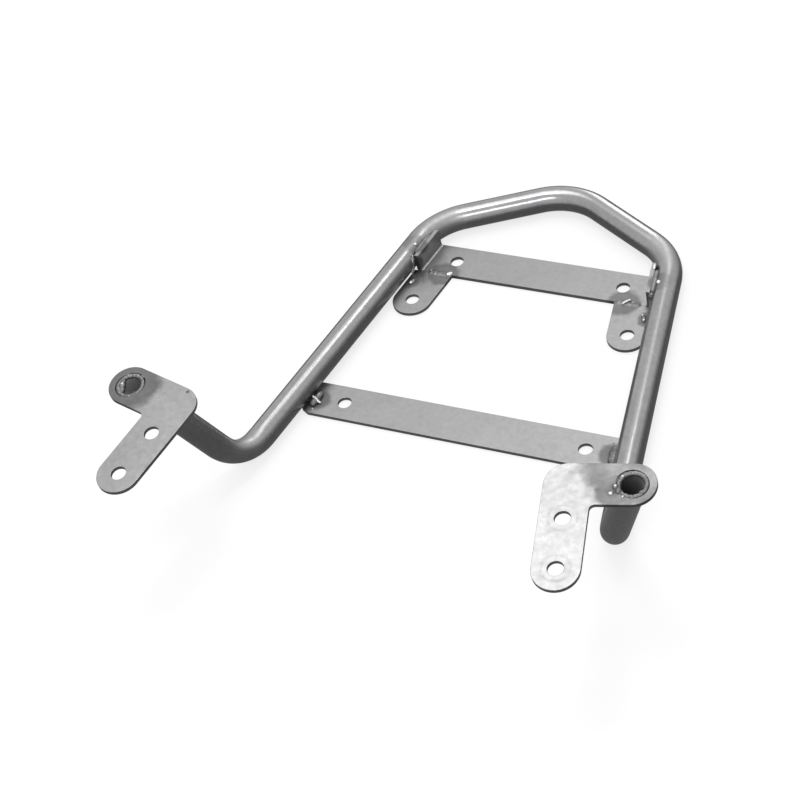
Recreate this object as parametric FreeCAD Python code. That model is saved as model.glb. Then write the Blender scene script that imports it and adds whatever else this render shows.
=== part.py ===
import FreeCAD, Part
import math
import os

# A luggage rack for a motorcycle's tail: one bent tube makes a hoop that lies flat, narrows to a
# blunt point at the rear and ends in two legs that rise at the front. Two flat cross strips join
# its side rails. The rear strip has both ends folded up against the rails, and a short tab
# welded to its front edge beside each rail. Each leg ends in an L-shaped mounting plate.
# Millimetres, +X to the right, +Y to the rear, +Z up. The origin is the middle of the rear
# strip's two bolt holes, on the underside of the strip. The rack is symmetric about X = 0.

# Tube
tube_diameter = 16.0
tube_wall = 2.0
corner_bend_radius = 40.0
leg_bend_radius = 34.0

# Hoop, between the points where the centre lines of its straight runs cross
hoop_front_width = 230.0
hoop_rear_width = 159.6
rear_strip_setback = 25.0
nose_run = 44.4

# Legs, from the front bends to the middle of the eyes in the mounting plates
eye_spacing = 292.6
eye_lead = 28.6
leg_rise = 89.2

# Cross strips
strip_width = 25.0
strip_thickness = 2.5
strip_spacing = 128.8
front_strip_setback = 63.0
strip_stand = 0.5
front_hole_spacing = 153.6
rear_hole_spacing = 110.8
fold_radius = 1.5
flange_height = 15.0
corner_cut_along = 5.0
corner_cut_across = 2.5

# Rear tabs
tab_width = 25.0
tab_thickness = 2.5
tab_reach = 37.6
tab_gap = 1.2

# Mounting plates
plate_width = 25.0
plate_thickness = 2.5
plate_tilt = 5.7
plate_turn = 12.5
eye_reach = 32.8
arm_reach = 50.0
plate_hole_spacing = 29.2
plate_corner_fillet = 3.0
tube_end_recess = 2.0

# Holes and clearances
bolt_hole_diameter = 8.5
eye_clearance = 0.2
seat_gap = 0.1

# Weld beads
strip_bead_radius = 4.2
strip_bead_length = 14.0
edge_bead_radius = 2.4
edge_bead_spread = 2.5
top_bead_radius = 3.4
top_bead_length = 8.0
seam_bead_radius = 4.4
seam_bead_height = 2.0
seam_bead_length = 15.0
tack_bead_radius = 2.4
tack_bead_length = 7.0
tack_setback = 11.0
ring_bead_height = 1.3
ring_bead_inset = 0.4
bead_taper = 0.45
bead_sides = 8

# Places that follow from the sizes above
tube_radius = tube_diameter / 2
bore_radius = tube_radius - tube_wall
axis_height = tube_radius + strip_stand
tube_top = axis_height + tube_radius
front_strip_y = -strip_spacing
front_bend_y = front_strip_y - front_strip_setback
rear_corner_y = rear_strip_setback
side_run = rear_corner_y - front_bend_y
apex = FreeCAD.Vector(0, rear_corner_y + nose_run, axis_height)
front_bend = FreeCAD.Vector(hoop_front_width / 2, front_bend_y, axis_height)
rear_corner = FreeCAD.Vector(hoop_rear_width / 2, rear_corner_y, axis_height)
eye = FreeCAD.Vector(eye_spacing / 2, front_bend_y - eye_lead, axis_height + leg_rise)
up = FreeCAD.Vector(0, 0, 1)
leg_direction = (eye - front_bend).normalize()
rail_direction = (rear_corner - front_bend).normalize()
rail_inward = FreeCAD.Vector(-rail_direction.y, rail_direction.x, 0)

# The mounting plate's own axes: towards the eye, along the arm, and down through the plate
tilt = FreeCAD.Rotation(FreeCAD.Vector(1, 0, 0), plate_tilt)
plate_down = tilt.multVec(-up)
turn = FreeCAD.Rotation(-plate_down, plate_turn)
plate_eye_direction = turn.multVec(FreeCAD.Vector(1, 0, 0))
plate_arm_direction = plate_down.cross(plate_eye_direction)
plate_corner = eye - plate_eye_direction * eye_reach


def mirrored(shape):
    """The left-hand twin of a right-hand shape."""
    return shape.mirror(FreeCAD.Vector(0, 0, 0), FreeCAD.Vector(1, 0, 0))


def left_of(point):
    """The left-hand twin of a right-hand point."""
    return FreeCAD.Vector(-point.x, point.y, point.z)


def rail_point(y, inward, z):
    """A point at Y and Z that lies this far inward of the right rail's centre line."""
    start = front_bend + rail_inward * inward
    along = (y - start.y) / rail_direction.y
    point = start + rail_direction * along
    point.z = z
    return point


def tube_half_width(z):
    """How far the rail's surface reaches inward of its centre line at a height."""
    drop = min(abs(axis_height - z), tube_radius)
    return math.sqrt(tube_radius ** 2 - drop ** 2)


def line(start, end):
    return Part.makeLine(start, end)


def arc(start, middle, end):
    return Part.Arc(start, middle, end).toShape()


def face(edges):
    return Part.Face(Part.Wire(edges))


def upright_hole(point, diameter):
    """A tool for a vertical hole right through a flat piece near the ground plane."""
    depth = tube_diameter
    return Part.makeCylinder(diameter / 2, 2 * depth, point - up * depth, up)


# The bent tube


def bend(before, corner, after, bend_radius, radius):
    """The round-sectioned solid of one bend, with its two tangent points."""
    towards = (corner - before).normalize()
    away = (after - corner).normalize()
    angle = towards.getAngle(away)
    reach = bend_radius * math.tan(angle / 2)
    start = corner - towards * reach
    end = corner + away * reach
    axis = towards.cross(away).normalize()
    centre = start + axis.cross(towards) * bend_radius
    section = Part.Face(Part.Wire(Part.makeCircle(radius, start, towards)))
    return section.revolve(centre, axis, math.degrees(angle)), start, end


def round_path(points, bend_radii, radius):
    """A round bar along straight runs joined by tangent arcs."""
    solids = []
    run_start = points[0]
    for index, bend_radius in enumerate(bend_radii):
        before, corner, after = points[index:index + 3]
        elbow, start, end = bend(before, corner, after, bend_radius, radius)
        solids.append(Part.makeCylinder(radius, (start - run_start).Length, run_start, start - run_start))
        solids.append(elbow)
        run_start = end
    last = points[-1] - run_start
    solids.append(Part.makeCylinder(radius, last.Length, run_start, last))
    return solids[0].multiFuse(solids[1:]).removeSplitter()


def above_leg_end():
    """A tool that trims the right leg parallel to its plate, a little below the plate's top."""
    size = 4 * tube_diameter
    block = Part.makeBox(size, size, size, FreeCAD.Vector(-size / 2, -size / 2, 0))
    block.Placement = FreeCAD.Placement(eye + plate_down * tube_end_recess, tilt)
    return block


def tube_bar(radius):
    """The hoop and its legs as a solid bar, trimmed at both ends."""
    leg_end = eye + leg_direction * tube_diameter
    right = [leg_end, front_bend, rear_corner]
    left = [left_of(point) for point in reversed(right)]
    radii = [leg_bend_radius, corner_bend_radius, corner_bend_radius, corner_bend_radius, leg_bend_radius]
    bar = round_path(right + [apex] + left, radii, radius)
    trim = above_leg_end()
    return bar.cut([trim, mirrored(trim)])


# The flat cross strips


def front_cross_strip():
    """A flat strip between the rails, its ends parallel to them and its front corners cut."""
    inward = tube_half_width(strip_thickness) + seat_gap
    front_y = front_strip_y - strip_width / 2
    rear_y = front_strip_y + strip_width / 2
    corner = rail_point(front_y, inward, 0)
    cut_start = corner - FreeCAD.Vector(corner_cut_along, 0, 0)
    cut_end = corner + rail_direction * corner_cut_across
    right = [cut_start, cut_end, rail_point(rear_y, inward, 0)]
    left = [left_of(point) for point in reversed(right)]
    outline = Part.makePolygon(right + left + [cut_start])
    strip = Part.Face(outline).extrude(up * strip_thickness)
    for side in (-1, 1):
        centre = FreeCAD.Vector(side * front_hole_spacing / 2, front_strip_y, 0)
        strip = strip.cut(upright_hole(centre, bolt_hole_diameter))
    return strip


def folded_profile():
    """The rear strip's section across the rail: flat, fold and upright flange."""
    outer = tube_radius + seat_gap
    inner = outer + strip_thickness
    bend_line = inner + fold_radius
    outer_fold = fold_radius + strip_thickness
    middle = hoop_front_width
    slope = math.sqrt(0.5)

    def at(inward, z):
        return rail_point(front_bend_y, 0, 0) + rail_inward * inward + up * z

    return face([
        line(at(outer, flange_height), at(outer, outer_fold)),
        arc(
            at(outer, outer_fold),
            at(bend_line - outer_fold * slope, outer_fold * (1 - slope)),
            at(bend_line, 0),
        ),
        line(at(bend_line, 0), at(middle, 0)),
        line(at(middle, 0), at(middle, strip_thickness)),
        line(at(middle, strip_thickness), at(bend_line, strip_thickness)),
        arc(
            at(bend_line, strip_thickness),
            at(bend_line - fold_radius * slope, outer_fold - fold_radius * slope),
            at(inner, outer_fold),
        ),
        line(at(inner, outer_fold), at(inner, flange_height)),
        line(at(inner, flange_height), at(outer, flange_height)),
    ])


def rear_cross_strip(tube):
    """A strip with both ends folded up against the rails, eased where the rear bends begin."""
    swept = folded_profile().extrude(rail_direction * 2 * side_run)
    right_band = Part.makeBox(
        hoop_front_width, strip_width, 2 * flange_height, FreeCAD.Vector(0, -strip_width / 2, 0)
    )
    right = swept.common(right_band)
    strip = right.fuse(mirrored(right)).removeSplitter().cut(tube)
    for side in (-1, 1):
        centre = FreeCAD.Vector(side * rear_hole_spacing / 2, 0, 0)
        strip = strip.cut(upright_hole(centre, bolt_hole_diameter))
    return strip


# The rear tabs


def tab_inward():
    """The tab's centre line, inward of the rail's, with a gap beside the tube."""
    return tube_half_width(tab_thickness) + tab_gap + tab_width / 2


def tab_hole_centre():
    return rail_point(-tab_reach, tab_inward(), 0)


def rear_tab():
    """The right tab, from its round end to the rear strip's front edge."""
    radius = tab_width / 2
    seam_y = -strip_width / 2
    centre = tab_hole_centre()
    outer_front = centre - rail_inward * radius
    inner_front = centre + rail_inward * radius
    outer_rear = rail_point(seam_y, tab_inward() - radius, 0)
    inner_rear = rail_point(seam_y, tab_inward() + radius, 0)
    blank = face([
        line(outer_rear, outer_front),
        arc(outer_front, centre - rail_direction * radius, inner_front),
        line(inner_front, inner_rear),
        line(inner_rear, outer_rear),
    ])
    tab = blank.extrude(up * tab_thickness)
    return tab.cut(upright_hole(centre, bolt_hole_diameter))


# The mounting plates


def on_plate(towards_eye, along_arm, down=0.0):
    """A point on the right plate's top face, from the centre of its corner."""
    across = plate_corner + plate_eye_direction * towards_eye
    return across + plate_arm_direction * along_arm + plate_down * down


def mounting_plate():
    """An L of two round-ended arms that share a round corner, with an eye and two bolt holes."""
    radius = plate_width / 2
    slope = math.sqrt(0.5)
    inner = radius + plate_corner_fillet
    inner_middle = inner - plate_corner_fillet * slope
    blank = face([
        line(on_plate(0, -radius), on_plate(eye_reach, -radius)),
        arc(on_plate(eye_reach, -radius), on_plate(eye_reach + radius, 0), on_plate(eye_reach, radius)),
        line(on_plate(eye_reach, radius), on_plate(inner, radius)),
        arc(on_plate(inner, radius), on_plate(inner_middle, inner_middle), on_plate(radius, inner)),
        line(on_plate(radius, inner), on_plate(radius, arm_reach)),
        arc(on_plate(radius, arm_reach), on_plate(0, arm_reach + radius), on_plate(-radius, arm_reach)),
        line(on_plate(-radius, arm_reach), on_plate(-radius, 0)),
        arc(on_plate(-radius, 0), on_plate(-radius * slope, -radius * slope), on_plate(0, -radius)),
    ])
    plate = blank.extrude(plate_down * plate_thickness)
    holes = []
    for along_arm in (arm_reach - plate_hole_spacing, arm_reach):
        top = on_plate(0, along_arm, -plate_thickness)
        holes.append(Part.makeCylinder(bolt_hole_diameter / 2, 3 * plate_thickness, top, plate_down))
    bore_start = eye - leg_direction * tube_diameter
    holes.append(
        Part.makeCylinder(tube_radius + eye_clearance, 2 * tube_diameter, bore_start, leg_direction)
    )
    return plate.cut(holes)


# The weld beads


def bead_ring(centre, along, radius):
    """The corners of a bead's section, square to its run."""
    turned = FreeCAD.Rotation(up, along)
    corners = []
    for index in range(bead_sides):
        angle = 2 * math.pi * index / bead_sides
        corners.append(centre + turned.multVec(FreeCAD.Vector(math.cos(angle), math.sin(angle), 0)) * radius)
    return corners


def bead(start, end, radius):
    """A faceted run of filler between two points, with an end that tapers off beyond each of them."""
    along = (end - start).normalize()
    tip = radius * bead_taper
    rings = [
        bead_ring(start - along * radius, along, tip),
        bead_ring(start, along, radius),
        bead_ring(end, along, radius),
        bead_ring(end + along * radius, along, tip),
    ]
    faces = [Part.Face(Part.makePolygon(ring + ring[:1])) for ring in (rings[0], rings[-1])]
    for near, far in zip(rings, rings[1:]):
        for index in range(bead_sides):
            following = (index + 1) % bead_sides
            corners = [near[index], near[following], far[following], far[index], near[index]]
            faces.append(Part.Face(Part.makePolygon(corners)))
    filler = Part.Solid(Part.Shell(faces))
    if filler.Volume < 0:
        filler.reverse()
    return filler


def bead_along_rail(middle_y, inward, z, radius, length):
    """A bead of this overall length that runs beside the right rail."""
    half = rail_direction * (length / 2 - radius)
    middle = rail_point(middle_y, inward, z)
    return bead(middle - half, middle + half, radius)


def above(z):
    """A tool that keeps only what lies above a height."""
    size = FreeCAD.Vector(hoop_front_width, 2 * side_run, 2 * tube_top)
    return Part.makeBox(size.x, size.y, size.z, FreeCAD.Vector(0, -side_run, z))


def front_strip_weld(tube, strip):
    """The bead in the corner between the front strip's top and the rail."""
    inward = tube_half_width(strip_thickness) + strip_bead_radius * 0.75
    filler = bead_along_rail(front_strip_y, inward, strip_thickness, strip_bead_radius, strip_bead_length)
    return filler.common(above(strip_thickness)).cut([tube, strip])


def flange_edge_weld(tube, strip):
    """The bead down the corner between the rail and the flange's front edge, wider at its foot."""
    edge_y = -strip_width / 2
    inward = tube_radius + seat_gap
    foot = rail_point(edge_y - edge_bead_spread, inward, strip_thickness + edge_bead_radius / 2)
    head = rail_point(edge_y, inward, flange_height - edge_bead_radius)
    reach = 2 * strip_width
    in_front = Part.makeBox(
        hoop_front_width, reach, 2 * tube_top, FreeCAD.Vector(0, edge_y - reach, strip_thickness)
    )
    return bead(foot, head, edge_bead_radius).common(in_front).cut([tube, strip])


def flange_top_weld(tube, strip):
    """The bead that fills the valley between the tube's top and the flange's top edge."""
    inward = tube_radius + seat_gap - 0.7 * top_bead_radius
    height = flange_height - 0.4 * top_bead_radius
    filler = bead_along_rail(0, inward, height, top_bead_radius, top_bead_length)
    return filler.cut([tube, strip])


def tab_seam_weld(strip, tab):
    """The low, broad bead along the joint between the tab and the rear strip's front edge."""
    seam_y = -strip_width / 2
    inner_end = tab_inward() + tab_width / 2 - seam_bead_radius / 2
    outer_end = inner_end - (seam_bead_length - 2 * seam_bead_radius)
    height = max(strip_thickness, tab_thickness) + seam_bead_height - seam_bead_radius
    outer = rail_point(seam_y, outer_end, height)
    inner = rail_point(seam_y, inner_end, height)
    filler = bead(outer, inner, seam_bead_radius)
    return filler.common(above(min(strip_thickness, tab_thickness))).cut([strip, tab])


def tab_tack_weld(tube, tab):
    """The tack that bridges the gap between the tab's outer edge and the rail."""
    inward = tube_half_width(tab_thickness) + tab_gap
    middle_y = -strip_width / 2 - tack_setback
    filler = bead_along_rail(middle_y, inward, tab_thickness, tack_bead_radius, tack_bead_length)
    return filler.common(above(tab_thickness / 2)).cut([tube, tab])


def eye_weld():
    """The ring of weld that lies on the tube's end and closes it to the wall of the plate's eye."""
    size = 4 * tube_diameter
    layer = Part.makeBox(size, size, ring_bead_height, FreeCAD.Vector(-size / 2, -size / 2, 0))
    layer.Placement = FreeCAD.Placement(eye + plate_down * tube_end_recess, tilt)
    start = eye - leg_direction * tube_diameter
    length = 2 * tube_diameter
    outside = Part.makeCylinder(tube_radius + eye_clearance, length, start, leg_direction)
    inside = Part.makeCylinder(bore_radius + ring_bead_inset, length, start, leg_direction)
    return layer.common(outside).cut(inside)


# Build every piece

tube_outside = tube_bar(tube_radius)
bent_tube = tube_outside.cut(tube_bar(bore_radius))
front_strip = front_cross_strip()
rear_strip = rear_cross_strip(tube_outside)
tab = rear_tab()
plate = mounting_plate()

paired = {
    "mounting_plate": plate,
    "rear_tab": tab,
    "front_strip_weld": front_strip_weld(tube_outside, front_strip),
    "flange_edge_weld": flange_edge_weld(tube_outside, rear_strip),
    "flange_top_weld": flange_top_weld(tube_outside, rear_strip),
    "tab_seam_weld": tab_seam_weld(rear_strip, tab),
    "tab_tack_weld": tab_tack_weld(tube_outside, tab),
    "eye_weld": eye_weld(),
}
nodes = {
    "bent_tube": bent_tube,
    "front_cross_strip": front_strip,
    "rear_cross_strip": rear_strip,
}
for name, shape in paired.items():
    nodes[name + "_right"] = shape
    nodes[name + "_left"] = mirrored(shape)

os.makedirs("parts", exist_ok=True)
for name, shape in nodes.items():
    shape.exportStep("parts/" + name + ".step")
    box = shape.BoundBox
    print(name, shape.isValid(), len(shape.Solids), round(shape.Volume, 1),
          [round(value, 1) for value in (box.XMin, box.YMin, box.ZMin, box.XMax, box.YMax, box.ZMax)])
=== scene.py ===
import math
import random

import bpy
from mathutils import Matrix, Vector


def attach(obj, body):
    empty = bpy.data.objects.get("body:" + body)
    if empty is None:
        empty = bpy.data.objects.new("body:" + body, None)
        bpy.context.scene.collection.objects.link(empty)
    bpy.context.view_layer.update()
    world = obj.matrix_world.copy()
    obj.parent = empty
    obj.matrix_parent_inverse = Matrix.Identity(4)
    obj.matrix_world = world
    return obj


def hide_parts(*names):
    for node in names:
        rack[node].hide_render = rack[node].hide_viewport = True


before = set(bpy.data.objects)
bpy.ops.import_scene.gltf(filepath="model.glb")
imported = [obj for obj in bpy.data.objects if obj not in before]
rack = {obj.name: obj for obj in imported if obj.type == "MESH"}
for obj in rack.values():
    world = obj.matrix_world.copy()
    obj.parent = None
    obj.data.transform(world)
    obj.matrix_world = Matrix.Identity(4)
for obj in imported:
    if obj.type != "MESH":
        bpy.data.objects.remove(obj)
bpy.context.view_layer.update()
scene = bpy.context.scene
scene.view_settings.view_transform = "Standard"

# The camera stands in front of the rack, to its right and well above it. A long lens keeps the
# rails nearly parallel, and the roll leans the rack to the right in the picture.
CAMERA_PLACE = (0.42862, -0.80955, 0.86143)
CAMERA_AZIMUTH = 34.4
CAMERA_ELEVATION = 45.74
CAMERA_ROLL = -15.41
CAMERA_LENS = 90.68

bpy.ops.object.camera_add()
camera = bpy.context.object
camera.name = "camera"
camera.data.lens = CAMERA_LENS
camera.matrix_world = (
    Matrix.Translation(CAMERA_PLACE)
    @ Matrix.Rotation(math.radians(CAMERA_AZIMUTH), 4, "Z")
    @ Matrix.Rotation(math.radians(90 - CAMERA_ELEVATION), 4, "X")
    @ Matrix.Rotation(math.radians(CAMERA_ROLL), 4, "Z")
)
scene.camera = camera

# The studio is a white floor under a white room. Seen directly or in the steel both are white,
# and the floor keeps a faint shadow. Scattered light from the room is lower, as a plain fill.
FLOOR_SIZE = 12.0
FLOOR_DROP = 0.0002
FLOOR_COLOUR = (0.9, 0.9, 0.9, 1)
FLOOR_GLOW_SHARE = 0.72
FILL_STRENGTH = 0.85
WHITE = (1, 1, 1, 1)


def node(tree, kind, **values):
    """A shader node with its settings and socket values given by name."""
    made = tree.nodes.new("ShaderNode" + kind)
    for name, value in values.items():
        words = name.replace("_", " ").title()
        if words in made.inputs:
            made.inputs[words].default_value = value
        else:
            setattr(made, name, value)
    return made


def maths(tree, operation, first, second=0.5):
    """A Math node whose two inputs are sockets or numbers."""
    made = tree.nodes.new("ShaderNodeMath")
    made.operation = operation
    for socket, value in zip(made.inputs, (first, second)):
        if isinstance(value, (int, float)):
            socket.default_value = value
        else:
            tree.links.new(value, socket)
    return made.outputs[0]


def seen_directly(tree):
    """1 for a ray from the camera or one that steel mirrors, and 0 for scattered light."""
    ray = tree.nodes.new("ShaderNodeLightPath").outputs
    mirrored = maths(tree, "MAXIMUM", ray["Is Glossy Ray"], ray["Is Transmission Ray"])
    return maths(tree, "MAXIMUM", ray["Is Camera Ray"], mirrored)


room = bpy.data.worlds.new("white_room")
room.use_nodes = True
scene.world = room
room_light = room.node_tree.nodes["Background"]
room_light.inputs["Color"].default_value = WHITE
room_share = maths(room.node_tree, "MULTIPLY", seen_directly(room.node_tree), 1 - FILL_STRENGTH)
room_strength = maths(room.node_tree, "ADD", room_share, FILL_STRENGTH)
room.node_tree.links.new(room_strength, room_light.inputs["Strength"])

bpy.ops.mesh.primitive_plane_add(size=FLOOR_SIZE, location=(0, 0, -FLOOR_DROP))
floor = bpy.context.object
floor.name = "floor"
floor_finish = bpy.data.materials.new("white_floor")
floor_finish.use_nodes = True
tree = floor_finish.node_tree
tree.nodes.remove(tree.nodes["Principled BSDF"])
matt = node(tree, "BsdfDiffuse", color=FLOOR_COLOUR)
glow = node(tree, "Emission", color=WHITE, strength=1.0)
floor_mix = node(tree, "MixShader")
glow_share = maths(tree, "MULTIPLY", seen_directly(tree), FLOOR_GLOW_SHARE)
tree.links.new(glow_share, floor_mix.inputs["Fac"])
tree.links.new(matt.outputs[0], floor_mix.inputs[1])
tree.links.new(glow.outputs[0], floor_mix.inputs[2])
tree.links.new(floor_mix.outputs[0], tree.nodes["Material Output"].inputs["Surface"])
floor.data.materials.append(floor_finish)

# Two dark grey cards give the steel its dark flanks: a round one on the floor under the rack and
# an upright one at its right, which grows paler upwards. Only reflections show them.
CARD_SHADE = 0.2
SIDE_CARD_TOP_SHADE = 0.75
FLOOR_CARD_RADIUS = 0.9
FLOOR_CARD_SIDES = 64
FLOOR_CARD_PLACE = (0, -0.1, -0.0001)
SIDE_CARD_WIDTH = 2.4
SIDE_CARD_HEIGHT = 0.62
SIDE_CARD_X = 1.0


def only_in_reflections(card, top_shade):
    """Gives a card its even or paler-upwards shade, and hides it from all but reflections."""
    finish = bpy.data.materials.new(card.name)
    finish.use_nodes = True
    tree = finish.node_tree
    tree.nodes.remove(tree.nodes["Principled BSDF"])
    height = node(tree, "SeparateXYZ")
    tree.links.new(node(tree, "NewGeometry").outputs["Position"], height.inputs[0])
    shade = node(tree, "MapRange", from_max=SIDE_CARD_HEIGHT, to_min=CARD_SHADE, to_max=top_shade)
    tree.links.new(height.outputs["Z"], shade.inputs["Value"])
    plain = node(tree, "Emission", color=WHITE)
    tree.links.new(shade.outputs[0], plain.inputs["Strength"])
    tree.links.new(plain.outputs[0], tree.nodes["Material Output"].inputs["Surface"])
    card.data.materials.append(finish)
    card.visible_camera = False
    card.visible_diffuse = False
    card.visible_shadow = False
    card.visible_transmission = False


bpy.ops.mesh.primitive_circle_add(
    vertices=FLOOR_CARD_SIDES, radius=FLOOR_CARD_RADIUS, fill_type="NGON", location=FLOOR_CARD_PLACE
)
floor_card = bpy.context.object
floor_card.name = "floor_card"
only_in_reflections(floor_card, CARD_SHADE)

bpy.ops.mesh.primitive_plane_add(
    size=1, location=(SIDE_CARD_X, 0, SIDE_CARD_HEIGHT / 2), rotation=(0, math.radians(90), 0)
)
side_card = bpy.context.object
side_card.name = "side_card"
side_card.scale = (SIDE_CARD_HEIGHT, SIDE_CARD_WIDTH, 1)
only_in_reflections(side_card, SIDE_CARD_TOP_SHADE)

# The lamps are softboxes: one high behind the rack draws the bright line along each rail, a wide
# dim one and a narrow one hang over it, one stands low behind it and one behind the camera. Each
# has its place, its size across and up, and its power.
LAMPS = {
    "rail_softbox": ((0.12, 0.95, 1.62), (0.5, 0.24), 2.2),
    "over_softbox": ((-0.44, 0.42, 1.86), (1.0, 1.0), 6.2),
    "high_softbox": ((-0.2, 0.1, 2.0), (0.5, 0.2), 3.6),
    "low_softbox": ((-0.34, 2.2, 1.1), (0.5, 1.4), 7.5),
    "front_softbox": ((0.5, -1.25, 1.6), (0.9, 0.3), 6.5),
}
for lamp_name, (lamp_place, lamp_size, lamp_power) in LAMPS.items():
    bpy.ops.object.light_add(type="AREA", location=lamp_place)
    lamp = bpy.context.object
    lamp.name = lamp_name
    lamp.data.shape = "RECTANGLE"
    lamp.data.size = lamp_size[0]
    lamp.data.size_y = lamp_size[1]
    lamp.data.energy = lamp_power
    lamp.rotation_mode = "QUATERNION"
    lamp.rotation_quaternion = (-Vector(lamp_place)).to_track_quat("-Z", "Y")

# The tube is one length of satin steel tube, bent five times: blunt at the rear, and turned up at
# the front into two legs. Drawing left fine lines along it. The bends' stretched steel is duller,
# and the two tight front ones are flatter on the inside. Its ends are cut level with the plates.
MM = 0.001
TUBE_RADIUS = 8 * MM
TUBE_WALL = 2 * MM
FRONT_BEND = Vector((115.0, -191.8, 8.5)) * MM
REAR_CORNER = Vector((79.8, 25.0, 8.5)) * MM
APEX = Vector((0, 69.4, 8.5)) * MM
EYE = Vector((146.3, -220.4, 97.7)) * MM
CORNER_BEND_RADIUS = 40 * MM
LEG_BEND_RADIUS = 34 * MM
PLATE_DOWN = Vector((0, 0.0993198, -0.9950556))
TUBE_END_RECESS = 2 * MM
AROUND = 40
STEPS_PER_RUN = 26
BEND_FLATTENING = 0.26
BEND_REACH = 17 * MM
BEND_FADE = 4
SMOOTH_ANGLE = math.radians(40)


def other_side(point):
    """The left-hand twin of a right-hand point."""
    return Vector((-point.x, point.y, point.z))


def select_only(piece):
    """Deselects all, then selects this piece and makes it the active one."""
    bpy.ops.object.select_all(action="DESELECT")
    piece.select_set(True)
    bpy.context.view_layer.objects.active = piece


leg_direction = (EYE - FRONT_BEND).normalized()
right_half = [EYE + leg_direction * 2 * TUBE_RADIUS, FRONT_BEND, REAR_CORNER]
route = right_half + [APEX] + [other_side(point) for point in reversed(right_half)]
bend_radii = [LEG_BEND_RADIUS] + [CORNER_BEND_RADIUS] * 3 + [LEG_BEND_RADIUS]

bpy.ops.curve.primitive_bezier_curve_add()
line = bpy.context.object
line.name = "bent_tube_skin"
line.data.resolution_u = STEPS_PER_RUN
line.data.bevel_depth = TUBE_RADIUS
line.data.bevel_resolution = AROUND // 2 - 2
line.data.twist_mode = "MINIMUM"
spline = line.data.splines[0]
spline.bezier_points.add(2 * len(bend_radii))


def set_route_point(index, place, back, forward):
    """Puts one point of the tube's line in place, with its handles this far back and forward."""
    point = spline.bezier_points[index]
    point.handle_left_type = "FREE"
    point.handle_right_type = "FREE"
    point.co = place
    point.handle_left = place - back
    point.handle_right = place + forward


run_start = route[0]
set_route_point(0, run_start, Vector(), Vector())
for index, bend_radius in enumerate(bend_radii):
    before, corner, after = route[index:index + 3]
    towards = (corner - before).normalized()
    away = (after - corner).normalized()
    turn = towards.angle(away)
    reach = bend_radius * math.tan(turn / 2)
    handle = 4 / 3 * math.tan(turn / 4) * bend_radius  # keeps the arc round
    start = corner - towards * reach
    end = corner + away * reach
    run = (start - run_start) / 3
    spline.bezier_points[2 * index].handle_right = run_start + run
    set_route_point(2 * index + 1, start, run, towards * handle)
    set_route_point(2 * index + 2, end, away * handle, away * handle)
    run_start = end
last_run = (route[-1] - run_start) / 3
spline.bezier_points[-2].handle_right = run_start + last_run
set_route_point(len(spline.bezier_points) - 1, route[-1], last_run, Vector())
select_only(line)
bpy.ops.object.convert(target="MESH")
tube = bpy.context.object

rings = [range(first, first + AROUND) for first in range(0, len(tube.data.vertices), AROUND)]
middles = [sum((tube.data.vertices[i].co for i in ring), Vector()) / AROUND for ring in rings]
bent = tube.data.attributes.new("bent", "FLOAT", "POINT")


def work_bend(corner, inside):
    """Marks where a bend stretched the steel, and presses in its inner side if that is given."""
    for ring, middle in zip(rings, middles):
        away = (middle - corner).length
        share = math.exp(-((away / BEND_REACH) ** BEND_FADE))
        for i in ring:
            bent.data[i].value = max(bent.data[i].value, share)
            vertex = tube.data.vertices[i]
            offset = vertex.co - middle
            inwards = max(0.0, offset.dot(inside))
            vertex.co -= inside * inwards * BEND_FLATTENING * share


leg_bend_inside = (REAR_CORNER - FRONT_BEND).normalized() + leg_direction
leg_bend_inside.normalize()
work_bend(FRONT_BEND, leg_bend_inside)
work_bend(other_side(FRONT_BEND), other_side(leg_bend_inside))
work_bend(REAR_CORNER, Vector())
work_bend(other_side(REAR_CORNER), Vector())

straightened = tube.data.attributes.new("straightened", "FLOAT_VECTOR", "POINT")
distance = 0.0
for number, ring in enumerate(rings):
    if number:
        distance += (middles[number] - middles[number - 1]).length
    for step, i in enumerate(ring):
        turned = 2 * math.pi * step / AROUND
        straightened.data[i].vector = (
            distance, TUBE_RADIUS * math.cos(turned), TUBE_RADIUS * math.sin(turned)
        )

select_only(tube)
bpy.ops.object.mode_set(mode="EDIT")
bpy.ops.mesh.select_all(action="SELECT")
tube_end = EYE + PLATE_DOWN * TUBE_END_RECESS
bpy.ops.mesh.bisect(plane_co=tube_end, plane_no=-PLATE_DOWN, clear_outer=True)
bpy.ops.mesh.select_all(action="SELECT")
bpy.ops.mesh.normals_make_consistent(inside=False)
bpy.ops.object.mode_set(mode="OBJECT")
tube.data.materials.clear()
tube.data.materials.append(None)
tube.data.materials.append(None)
wall = tube.modifiers.new("wall", "SOLIDIFY")
wall.thickness = TUBE_WALL
wall.offset = -1
wall.material_offset = 1
bpy.ops.object.modifier_apply(modifier="wall")
bpy.ops.object.shade_smooth_by_angle(angle=SMOOTH_ANGLE)


def group(name, inputs, outputs):
    """An empty shader group with its inputs, given as name, type and value, and its outputs."""
    made = bpy.data.node_groups.new(name, "ShaderNodeTree")
    add = made.interface.new_socket
    for socket_name, kind, value in inputs:
        socket = add(socket_name, in_out="INPUT", socket_type="NodeSocket" + kind)
        if value is not None:
            socket.default_value = value
    for socket_name, kind in outputs:
        add(socket_name, in_out="OUTPUT", socket_type="NodeSocket" + kind)
    return made, made.nodes.new("NodeGroupInput"), made.nodes.new("NodeGroupOutput")


def noise(tree, place, scale, detail=3.0, roughness=0.55):
    """A cloudy value between 0 and 1, at so many clouds to the metre."""
    made = node(tree, "TexNoise", scale=scale, detail=detail, roughness=roughness)
    tree.links.new(place, made.inputs["Vector"])
    return made.outputs["Fac"]


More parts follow.
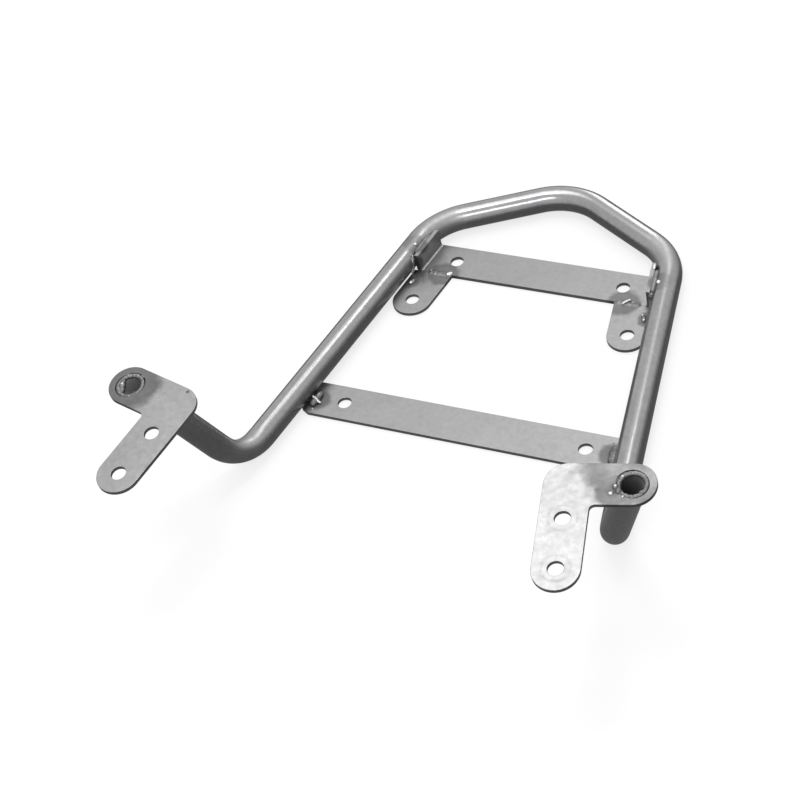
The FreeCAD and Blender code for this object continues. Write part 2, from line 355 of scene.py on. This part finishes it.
def stretched(tree, place, scale):
    """A pattern's coordinates, scaled by a different amount along each axis."""
    made = node(tree, "Mapping", scale=scale)
    tree.links.new(place, made.inputs["Vector"])
    return made.outputs["Vector"]


def ranged(tree, value, low, high, to_low, to_high):
    """A value carried from one range to another and held inside it."""
    made = node(tree, "MapRange", from_min=low, from_max=high, to_min=to_low, to_max=to_high)
    tree.links.new(value, made.inputs["Value"])
    return made.outputs["Result"]


# Drawing and polishing leave lines along the steel, and zinc and handling leave clouds on it. The
# lines and clouds are counted to the metre, along each axis where there are three numbers.
COARSE_LINES = (14, 700, 700)
FINE_LINES = (60, 3200, 3200)
BROAD_CLOUDS = 55
SMALL_CLOUDS = 300
CLOUD_CONTRAST = 3.0
WAVE_HEIGHT = 3.0

grain, grain_in, grain_out = group(
    "steel_grain",
    [("Place", "Vector", None), ("Lines", "Float", 0.5), ("Clouds", "Float", 0.5)],
    [("Shade", "Float"), ("Roughness", "Float"), ("Height", "Float")],
)
grain_place = grain_in.outputs["Place"]
coarse_lines = noise(grain, stretched(grain, grain_place, COARSE_LINES), scale=1.0, detail=4.0)
fine_lines = noise(grain, stretched(grain, grain_place, FINE_LINES), scale=1.0, detail=2.0)
lines = maths(grain, "MULTIPLY", maths(grain, "ADD", coarse_lines, fine_lines), 0.5)
broad_clouds = noise(grain, grain_place, BROAD_CLOUDS, detail=5.0, roughness=0.62)
small_clouds = noise(grain, grain_place, SMALL_CLOUDS, detail=3.0, roughness=0.5)
clouds = maths(grain, "MULTIPLY", maths(grain, "ADD", broad_clouds, small_clouds), 0.5)
line_signal = maths(grain, "SUBTRACT", lines, 0.5)
line_part = maths(grain, "MULTIPLY", line_signal, grain_in.outputs["Lines"])
stronger = maths(grain, "MULTIPLY", maths(grain, "SUBTRACT", clouds, 0.5), CLOUD_CONTRAST)
cloud_part = maths(grain, "MULTIPLY", stronger, grain_in.outputs["Clouds"])
both = maths(grain, "ADD", line_part, cloud_part)
grain.links.new(maths(grain, "ADD", both, 0.5), grain_out.inputs["Shade"])
grain.links.new(maths(grain, "SUBTRACT", 0.5, both), grain_out.inputs["Roughness"])
waves = maths(grain, "MULTIPLY", broad_clouds, WAVE_HEIGHT)
height = maths(grain, "ADD", maths(grain, "MULTIPLY", lines, 0.5), waves)
grain.links.new(height, grain_out.inputs["Height"])

# Round each weld a patch with a ragged rim darkens the steel: partly the heat tint of welding, and
# partly painted shade where the parts meet at the weld. On the left the same patch is mirrored. A
# big patch is paler inside its rim, by what is given as Cleared. Each step is a share of the
# patch's reach and how strong the mark is there, with both ends first.
HEAT_STEPS = ((0, 0.95), (1, 0.0), (0.45, 0.75), (0.68, 0.75))
CLEARED_FROM, CLEARED_TO = 0.3, 0.75
RAGS = 110
RAGGEDNESS = 0.6
TINT_AND_PAINTED_SHADE = (0.052, 0.05, 0.05, 1)
HEATED_DULLNESS = 0.2

heat, heat_in, heat_out = group(
    "heat_tint_and_painted_shade",
    [
        ("Place", "Vector", None), ("Centre", "Vector", (0, 0, 0)),
        ("Reach", "Float", 0.01), ("Cleared", "Float", 0.0),
    ],
    [("Mask", "Float")],
)
halves = node(heat, "SeparateXYZ")
heat.links.new(heat_in.outputs["Place"], halves.inputs[0])
folded = node(heat, "CombineXYZ")
heat.links.new(maths(heat, "ABSOLUTE", halves.outputs["X"]), folded.inputs["X"])
heat.links.new(halves.outputs["Y"], folded.inputs["Y"])
heat.links.new(halves.outputs["Z"], folded.inputs["Z"])
apart = node(heat, "VectorMath", operation="DISTANCE")
heat.links.new(folded.outputs[0], apart.inputs[0])
heat.links.new(heat_in.outputs["Centre"], apart.inputs[1])
rags = noise(heat, heat_in.outputs["Place"], RAGS, detail=2.0)
ragged = maths(heat, "ADD", maths(heat, "MULTIPLY", rags, RAGGEDNESS), 1 - RAGGEDNESS / 2)
uneven = maths(heat, "MULTIPLY", apart.outputs["Value"], ragged)
share_out = maths(heat, "DIVIDE", uneven, heat_in.outputs["Reach"])
rim = node(heat, "ValToRGB")
rim.color_ramp.interpolation = "EASE"
steps = rim.color_ramp.elements
for step, strength in HEAT_STEPS:
    at_step = steps[step] if step in (0, 1) else steps.new(step)
    at_step.color = (strength, strength, strength, 1)
heat.links.new(share_out, rim.inputs["Fac"])
near = ranged(heat, share_out, CLEARED_FROM, CLEARED_TO, to_low=1.0, to_high=0.0)
paler = maths(heat, "MULTIPLY", near, heat_in.outputs["Cleared"])
heat.links.new(maths(heat, "SUBTRACT", rim.outputs["Color"], paler), heat_out.inputs["Mask"])

# Where the welds are, on the right-hand side: each patch's middle, how far its heat tint and
# painted shade reach, and how much the middle is cleared.
RAIL_DIRECTION = (REAR_CORNER - FRONT_BEND).normalized()
RAIL_INWARD = Vector((-RAIL_DIRECTION.y, RAIL_DIRECTION.x, 0))


def rail_place(y, inward, z):
    """A point at Y and Z, in millimetres, this far inward of the right rail's centre line."""
    start = FRONT_BEND + RAIL_INWARD * inward * MM
    place = start + RAIL_DIRECTION * (y * MM - start.y) / RAIL_DIRECTION.y
    place.z = z * MM
    return place


STRIP_WELD = rail_place(-130, 11, 4)
EDGE_WELD = rail_place(-14, 8, 8)
TOP_WELD = rail_place(-3, 4, 15.5)
SEAM_WELD = rail_place(-12.5, 26, 3)
TACK_WELD = rail_place(-22.5, 9, 4)
RAIL_PATCHES = [
    (STRIP_WELD, 9 * MM, 0.0), (EDGE_WELD, 6 * MM, 0.0), (TOP_WELD, 9 * MM, 0.0),
    (TACK_WELD, 7 * MM, 0.0),
]
SHEET_PATCHES = [
    (STRIP_WELD, 10 * MM, 0.0), (EDGE_WELD, 8 * MM, 0.0), (TOP_WELD, 9 * MM, 0.0),
    (SEAM_WELD, 12 * MM, 0.1), (TACK_WELD, 8 * MM, 0.0),
]

# A drill's chips and a bolt head have left a faint, broken ring about each of the right plate's
# holes.
DRILL_RING_RADIUS = 7.6 * MM
DRILL_RING_WIDTH = 1.1 * MM
DRILL_RING_BREAKS = 180
DRILL_MARK = 0.25

drill, drill_in, drill_out = group(
    "drill_ring",
    [("Place", "Vector", None), ("Centre", "Vector", (0, 0, 0))],
    [("Mask", "Float")],
)
from_hole = node(drill, "VectorMath", operation="DISTANCE")
drill.links.new(drill_in.outputs["Place"], from_hole.inputs[0])
drill.links.new(drill_in.outputs["Centre"], from_hole.inputs[1])
beyond = maths(drill, "SUBTRACT", from_hole.outputs["Value"], DRILL_RING_RADIUS)
off_ring = maths(drill, "ABSOLUTE", beyond)
ring_line = ranged(drill, off_ring, 0.0, DRILL_RING_WIDTH, to_low=1.0, to_high=0.0)
breaks = noise(drill, drill_in.outputs["Place"], DRILL_RING_BREAKS)
broken = ranged(drill, breaks, low=0.35, high=0.65, to_low=0.2, to_high=1.0)
drill.links.new(maths(drill, "MULTIPLY", ring_line, broken), drill_out.inputs["Mask"])

# Over this part of the grain's values, a finish goes from its lowest to its highest roughness.
GRAIN_LOW, GRAIN_HIGH = 0.2, 0.8
RELIEF_DEPTH = 0.1 * MM


def steel(
    name, dark, light, roughness, lines, clouds, bump,
    patches=(), darkening=0.0, place_name=None, holes=(), stretched_dullness=0.0,
):
    """Satin steel. The patches are heat tint and painted shade round the welds, and the holes where
    drills marked it.
    """
    made = bpy.data.materials.new(name)
    made.use_nodes = True
    tree = made.node_tree
    shader = tree.nodes["Principled BSDF"]
    shader.inputs["Metallic"].default_value = 1.0
    objects = node(tree, "TexCoord").outputs["Object"]
    place = objects
    if place_name:
        place = node(tree, "Attribute", attribute_name=place_name).outputs["Vector"]
    surface = node(tree, "Group")
    surface.node_tree = grain
    surface.inputs["Lines"].default_value = lines
    surface.inputs["Clouds"].default_value = clouds
    tree.links.new(place, surface.inputs["Place"])
    tint_shade_and_drill_marks = 0.0
    for centre, reach, cleared in patches:
        patch = node(tree, "Group")
        patch.node_tree = heat
        patch.inputs["Centre"].default_value = centre
        patch.inputs["Reach"].default_value = reach
        patch.inputs["Cleared"].default_value = cleared
        tree.links.new(objects, patch.inputs["Place"])
        tint_shade_and_drill_marks = maths(tree, "MAXIMUM", patch.outputs["Mask"], tint_shade_and_drill_marks)
    for centre in holes:
        mark = node(tree, "Group")
        mark.node_tree = drill
        mark.inputs["Centre"].default_value = centre
        tree.links.new(objects, mark.inputs["Place"])
        faint = maths(tree, "MULTIPLY", mark.outputs["Mask"], DRILL_MARK)
        tint_shade_and_drill_marks = maths(tree, "MAXIMUM", faint, tint_shade_and_drill_marks)
    clean = node(tree, "Mix", data_type="RGBA")
    clean.inputs["A"].default_value = (*dark, 1)
    clean.inputs["B"].default_value = (*light, 1)
    tree.links.new(surface.outputs["Shade"], clean.inputs["Factor"])
    # The patches mix in a dark colour: heat tint, and painted shade where the parts meet at the
    # welds.
    tinted_and_shaded = node(tree, "Mix", data_type="RGBA")
    tinted_and_shaded.inputs["B"].default_value = TINT_AND_PAINTED_SHADE
    tree.links.new(maths(tree, "MULTIPLY", tint_shade_and_drill_marks, darkening), tinted_and_shaded.inputs["Factor"])
    tree.links.new(clean.outputs["Result"], tinted_and_shaded.inputs["A"])
    tree.links.new(tinted_and_shaded.outputs["Result"], shader.inputs["Base Color"])
    satin = ranged(tree, surface.outputs["Roughness"], GRAIN_LOW, GRAIN_HIGH, *roughness)
    dull = maths(tree, "ADD", satin, maths(tree, "MULTIPLY", tint_shade_and_drill_marks, HEATED_DULLNESS))
    if stretched_dullness:
        at_bends = node(tree, "Attribute", attribute_name="bent").outputs["Fac"]
        dull = maths(tree, "ADD", dull, maths(tree, "MULTIPLY", at_bends, stretched_dullness))
    tree.links.new(dull, shader.inputs["Roughness"])
    relief = node(tree, "Bump", strength=bump, distance=RELIEF_DEPTH)
    tree.links.new(surface.outputs["Height"], relief.inputs["Height"])
    tree.links.new(relief.outputs["Normal"], shader.inputs["Normal"])
    return made


tube.data.materials[0] = steel(
    "tube_steel", dark=(0.22, 0.22, 0.225), light=(0.42, 0.42, 0.425), roughness=(0.18, 0.3),
    lines=0.4, clouds=0.35, bump=0.07, patches=RAIL_PATCHES, darkening=0.5,
    place_name="straightened", stretched_dullness=0.22,
)

# The bore was never polished: it is dull, with a fine mottled scale.
SCALE_DARK = (0.15, 0.15, 0.15, 1)
SCALE_LIGHT = (0.36, 0.36, 0.36, 1)
SCALE_SPOTS = 900
SCALE_METALLIC = 0.2
SCALE_ROUGHNESS = 0.8

bore_scale = bpy.data.materials.new("bore_scale")
bore_scale.use_nodes = True
tree = bore_scale.node_tree
scale_place = node(tree, "TexCoord").outputs["Object"]
scale_shade = node(tree, "Mix", data_type="RGBA")
scale_shade.inputs["A"].default_value = SCALE_DARK
scale_shade.inputs["B"].default_value = SCALE_LIGHT
tree.links.new(noise(tree, scale_place, SCALE_SPOTS), scale_shade.inputs["Factor"])
scale_shader = tree.nodes["Principled BSDF"]
tree.links.new(scale_shade.outputs["Result"], scale_shader.inputs["Base Color"])
scale_shader.inputs["Metallic"].default_value = SCALE_METALLIC
scale_shader.inputs["Roughness"].default_value = SCALE_ROUGHNESS
tube.data.materials[1] = bore_scale
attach(tube, "root")
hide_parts("bent_tube")

# The strips, tabs and plates are flat bar and sheet, sawn or cut to outline, with drilled holes.
# Their cut edges are slightly eased, as they are after deburring.
CUT_EDGE = 0.25 * MM
CUT_EDGE_SEGMENTS = 2
SHARP_ANGLE = math.radians(50)
FLAT_ANGLE = math.radians(1)
SAME_PLACE = 0.001 * MM
FLAT_FACE_WEIGHT = 100
PLATE_HOLES = [Vector((118.78, -247.67, 96.2)) * MM, Vector((125.10, -276.04, 93.4)) * MM]

sheet_steel = steel(
    "sheet_steel", dark=(0.22, 0.22, 0.224), light=(0.4, 0.4, 0.404), roughness=(0.26, 0.4),
    lines=0.3, clouds=0.45, bump=0.25, patches=SHEET_PATCHES, darkening=0.85,
)
# The two plates are one steel: the left one has a darker finish as painted shade, and the right one
# a lighter finish as painted light.
shaded_left_plate_steel = steel(
    "shaded_left_plate_steel", dark=(0.2, 0.2, 0.204), light=(0.37, 0.37, 0.374), roughness=(0.24, 0.38),
    lines=0.2, clouds=0.5, bump=0.25, darkening=0.9,
    patches=[(EYE, 21 * MM, 0.1), (EYE + Vector((-35.6, 2.8, 0.2)) * MM, 1.3 * MM, 0.0)],
)
lit_right_plate_steel = steel(
    "lit_right_plate_steel", dark=(0.26, 0.26, 0.264), light=(0.37, 0.37, 0.37), roughness=(0.24, 0.34),
    lines=0.2, clouds=0.8, bump=0.25, darkening=0.85, holes=PLATE_HOLES,
    patches=[
        (EYE + Vector((0, 14, 1.4)) * MM, 35 * MM, 0.3),
        (EYE + Vector((-8, -6, -0.6)) * MM, 12 * MM, 0.0),
    ],
)


def eased_sheet(name, finish):
    """A flat piece's copy with its cut edges eased. A right-hand one is the left one mirrored."""
    twin = name.replace("_right", "_left")
    piece = bpy.data.objects.new(name + "_eased", rack[twin].data.copy())
    scene.collection.objects.link(piece)
    select_only(piece)
    bpy.ops.mesh.customdata_custom_splitnormals_clear()
    bpy.ops.object.mode_set(mode="EDIT")
    bpy.ops.mesh.select_all(action="SELECT")
    bpy.ops.mesh.remove_doubles(threshold=SAME_PLACE)
    bpy.ops.mesh.dissolve_limited(angle_limit=FLAT_ANGLE)
    bpy.ops.object.mode_set(mode="OBJECT")
    easing = piece.modifiers.new("easing", "BEVEL")
    easing.width = CUT_EDGE
    easing.segments = CUT_EDGE_SEGMENTS
    easing.limit_method = "ANGLE"
    easing.angle_limit = SHARP_ANGLE
    bpy.ops.object.modifier_apply(modifier="easing")
    if twin != name:
        piece.data.transform(Matrix.Scale(-1, 4, (1, 0, 0)))
        piece.data.flip_normals()
    bpy.ops.object.shade_smooth()
    flat = piece.modifiers.new("flat", "WEIGHTED_NORMAL")
    flat.weight = FLAT_FACE_WEIGHT
    bpy.ops.object.modifier_apply(modifier="flat")
    piece.data.materials.clear()
    piece.data.materials.append(finish)
    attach(piece, "root")
    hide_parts(name)


for strip_name in ("front_cross_strip", "rear_cross_strip", "rear_tab_right", "rear_tab_left"):
    eased_sheet(strip_name, sheet_steel)
eased_sheet("mounting_plate_right", lit_right_plate_steel)
eased_sheet("mounting_plate_left", shaded_left_plate_steel)

# The welds are short runs of filler laid by hand, with a ripple for each dab, and no two alike.
# Each is a dull bead with drops, strokes and specks of spatter on it and round it, made of a
# lighter steel where the weld's highlights fall: real spatter with painted highlights. The wander
# of the dabs is in millimetres, and their sizes are shares of the run's.
RIPPLE_STEP = 1.3 * MM
DAB_DETAIL = 4
DAB_SIZES = (0.93, 1.05)
END_DAB_SIZE = 0.8
SHORTEST_DAB = 0.75
DAB_OVERLAP = 0.8
WANDER = 0.12
SPECK_STRETCH = (0.85, 1.2)
SPECK_HEIGHT = 0.8
VOXEL = 0.2 * MM
SETTLING = 0.5
SETTLING_ROUNDS = 3
chance = random.Random(7)
bead_steel = steel(
    "bead_steel", dark=(0.08, 0.08, 0.08), light=(0.27, 0.27, 0.27), roughness=(0.38, 0.52),
    lines=0.0, clouds=0.6, bump=0.08,
)
# A lighter steel for the drops and strokes, as painted highlights on the weld.
highlight_drop_steel = steel(
    "highlight_drop_steel", dark=(0.45, 0.45, 0.45), light=(0.8, 0.8, 0.8), roughness=(0.34, 0.48),
    lines=0.0, clouds=1.0, bump=0.1,
)


def dab(place, along, length, width, height):
    """One dab of filler: a ball stretched along the run and pressed down."""
    bpy.ops.mesh.primitive_ico_sphere_add(subdivisions=DAB_DETAIL, radius=1)
    made = bpy.context.object
    turned = along.to_track_quat("X", "Z").to_matrix().to_4x4()
    sized = Matrix.Diagonal((length, width, height, 1))
    made.data.transform(Matrix.Translation(place) @ turned @ sized)
    return made


def run_of_dabs(start, end, width, height):
    """The dabs of one run, a little uneven, and smaller at both ends."""
    run = end - start
    steps = max(2, round(run.length / RIPPLE_STEP))
    dabs = []
    for step in range(steps + 1):
        size = chance.uniform(*DAB_SIZES) * (END_DAB_SIZE if step in (0, steps) else 1.0)
        wander = Vector([chance.uniform(-WANDER, WANDER) for _ in range(3)]) * MM
        place = start + run * step / steps + wander
        length = max(width * size * SHORTEST_DAB, run.length / steps * DAB_OVERLAP)
        dabs.append(dab(place, run, length, width * size, height * size))
    return dabs


def speck(place, radius):
    """A speck of spatter, stuck to the steel."""
    length = radius * chance.uniform(*SPECK_STRETCH)
    return dab(place, Vector((1, 0, 0)), length, radius, radius * SPECK_HEIGHT)


def melted(name, dabs, finish, node_name):
    """Melts the dabs into one piece of filler that stands for the weld's plain solid."""
    bpy.ops.object.select_all(action="DESELECT")
    for piece in dabs:
        piece.select_set(True)
    bpy.context.view_layer.objects.active = dabs[0]
    bpy.ops.object.join()
    filler = bpy.context.object
    filler.name = name
    melting = filler.modifiers.new("melting", "REMESH")
    melting.mode = "VOXEL"
    melting.voxel_size = VOXEL
    bpy.ops.object.modifier_apply(modifier="melting")
    settling = filler.modifiers.new("settling", "SMOOTH")
    settling.factor = SETTLING
    settling.iterations = SETTLING_ROUNDS
    bpy.ops.object.modifier_apply(modifier="settling")
    bpy.ops.object.shade_smooth()
    filler.data.materials.clear()
    filler.data.materials.append(finish)
    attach(filler, "root")
    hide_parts(node_name)


def at(x, y, z):
    """A point in millimetres."""
    return Vector((x, y, z)) * MM


# Each weld's dull runs, then its lighter strokes that paint its highlights, as start, end, width
# and height in millimetres.
WELDS = {
    "front_strip_weld_right": (
        [(rail_place(-135, 10.2, 3.2), rail_place(-125, 10.2, 3.2), 3.2, 2.4)],
        [(rail_place(-121, 12.5, 2.6), rail_place(-120.6, 12.5, 2.6), 0.6, 0.6),
         (rail_place(-129.5, 11.2, 5.0), rail_place(-130.5, 12.2, 4.4), 0.7, 0.6)],
    ),
    "front_strip_weld_left": (
        [(rail_place(-135, 10.2, 3.2), rail_place(-126, 10.2, 3.2), 2.8, 2.2)],
        [(rail_place(-131.0, 8.8, 5.2), rail_place(-133.0, 13.8, 3.3), 1.1, 1.1),
         (rail_place(-138, 12, 2.6), rail_place(-138.4, 12, 2.6), 0.6, 0.6)],
    ),
    "flange_edge_weld_right": (
        [(rail_place(-16.2, 7.3, 3.2), rail_place(-12.6, 7.1, 13.8), 2.0, 1.8)],
        [(rail_place(-15.6, 7.9, 5.0), rail_place(-13.8, 7.9, 10.0), 0.7, 0.8)],
    ),
    "flange_edge_weld_left": (
        [(rail_place(-16.2, 7.3, 3.2), rail_place(-12.6, 7.3, 13.6), 1.3, 1.1)],
        [(rail_place(-16.9, 7.3, 3.2), rail_place(-12.9, 7.3, 14.4), 0.75, 0.8)],
    ),
    "flange_top_weld_right": (
        [(rail_place(-10.0, 6.8, 13.6), rail_place(6.5, 6.8, 13.6), 2.1, 2.0)],
        [(rail_place(-3.6, 3.7, 15.3), rail_place(-2.6, 4.2, 15.2), 1.5, 1.2),
         (rail_place(8.0, 8.8, 15.0), rail_place(10.4, 8.8, 15.0), 1.2, 0.9)],
    ),
    "flange_top_weld_left": (
        [(rail_place(-8.0, 6.8, 13.6), rail_place(6.5, 6.8, 13.6), 2.0, 1.9)],
        [(rail_place(-3.6, 3.4, 15.4), rail_place(-2.6, 3.9, 15.3), 1.4, 1.2)],
    ),
    "tab_seam_weld_right": (
        [(at(55, -12.5, 1.9), at(70, -12.5, 1.9), 2.6, 1.1)],
        [(at(60.0, -13.6, 3.1), at(63.0, -10.0, 3.1), 1.1, 1.0),
         (at(65.6, -11.6, 2.9), at(66.0, -11.6, 2.9), 0.8, 0.8)],
    ),
    "tab_seam_weld_left": (
        [(at(55, -12.5, 1.9), at(69.5, -12.5, 1.9), 2.6, 1.1)],
        [(at(56.6, -12.8, 2.8), at(55.0, -11.0, 2.6), 1.9, 1.3),
         (at(68.2, -11.4, 2.9), at(68.6, -11.4, 2.9), 0.7, 0.7)],
    ),
    "tab_tack_weld_right": (
        [(at(77.2, -24.8, 2.4), at(75.6, -21.0, 2.4), 1.9, 1.4)],
        [(at(77.0, -25.0, 3.4), at(76.8, -24.4, 3.4), 1.1, 0.9),
         (at(74.7, -20.6, 2.9), at(74.6, -20.2, 2.9), 0.7, 0.7)],
    ),
    "tab_tack_weld_left": (
        [(at(77.4, -24.6, 2.4), at(75.8, -21.4, 2.4), 2.0, 1.5)],
        [(at(77.2, -25.2, 3.4), at(76.8, -24.2, 3.5), 1.3, 1.0)],
    ),
}


def all_runs(runs, to_side):
    """The dabs of several runs, laid on the right side or its twin."""
    dabs = []
    for run_from, run_to, width, height in runs:
        dabs += run_of_dabs(to_side(run_from), to_side(run_to), width * MM, height * MM)
    return dabs


for weld_name, (dull_runs, highlight_runs) in WELDS.items():
    to_side = other_side if weld_name.endswith("left") else Vector
    melted(weld_name + "_bead", all_runs(dull_runs, to_side), bead_steel, weld_name)
    melted(weld_name + "_drops", all_runs(highlight_runs, to_side), highlight_drop_steel, weld_name)

# The weld in each eye is a ring of dabs between the tube's end and the plate, laid in the plate's
# own tilt, with lumps and drops where the run began and ended. The drops are of the lighter steel,
# as painted highlights. The dabs' sizes and their wander are in millimetres.
PLATE_ACROSS = Vector((1, 0, 0))
PLATE_BACK = PLATE_ACROSS.cross(PLATE_DOWN).normalized()
RING_DABS = 40
RING_DAB_SIZES = (1.35, 1.5)
RING_RADIUS = 7.25 * MM
RING_DEPTH = 1.3 * MM
RING_WANDER = (-0.15, 0.1)
DEPTH_WANDER = (-0.15, 0.15)


def eye_ring(weld_name, centre, lumps, highlight_drops):
    """One uneven ring, with its lumps, and its drops that paint highlights, as places and radii in
    millimetres.
    """
    dabs = []
    for step in range(RING_DABS):
        turned = 2 * math.pi * step / RING_DABS
        radius = RING_RADIUS + chance.uniform(*RING_WANDER) * MM
        out = PLATE_ACROSS * math.cos(turned) + PLATE_BACK * math.sin(turned)
        along = PLATE_BACK * math.cos(turned) - PLATE_ACROSS * math.sin(turned)
        depth = RING_DEPTH + chance.uniform(*DEPTH_WANDER) * MM
        size = chance.uniform(*RING_DAB_SIZES) * MM
        dabs.append(dab(centre + out * radius + PLATE_DOWN * depth, along, size, size, size))

    def lump(across, back, down, size):
        """A speck at this place from the middle of the eye."""
        place = centre + (PLATE_ACROSS * across + PLATE_BACK * back + PLATE_DOWN * down) * MM
        return speck(place, size * MM)

    dabs += [lump(*values) for values in lumps]
    melted(weld_name + "_bead", dabs, bead_steel, weld_name)
    melted(weld_name + "_drops", [lump(*values) for values in highlight_drops], highlight_drop_steel, weld_name)


# The places are across, back and down from the middle of the eye.
eye_ring(
    "eye_weld_right", EYE,
    [(-6.6, 2.6, 0.7, 1.7), (-5.6, -5.6, 0.4, 2.0), (-8.0, -3.4, 0.3, 1.8), (5.8, -3.6, 0.9, 1.6),
     (-8.6, -7.0, 0.3, 1.2), (-2.2, -7.6, 0.6, 1.5)],
    [(-8.9, -7.9, 0.0, 1.1), (-6.2, 3.1, 0.0, 0.9), (-2.4, -8.2, 0.1, 0.8),
     (-7.8, -3.4, -0.7, 0.8)],
)
eye_ring(
    "eye_weld_left", other_side(EYE),
    [(-4.8, -1.4, 1.2, 2.3), (-5.4, 1.2, 1.0, 1.7), (-3.8, -3.6, 1.5, 1.8), (4.6, -4.2, 1.4, 1.4)],
    [(-4.9, -0.4, 0.0, 0.9), (-3.9, -2.6, 0.5, 0.6)],
)
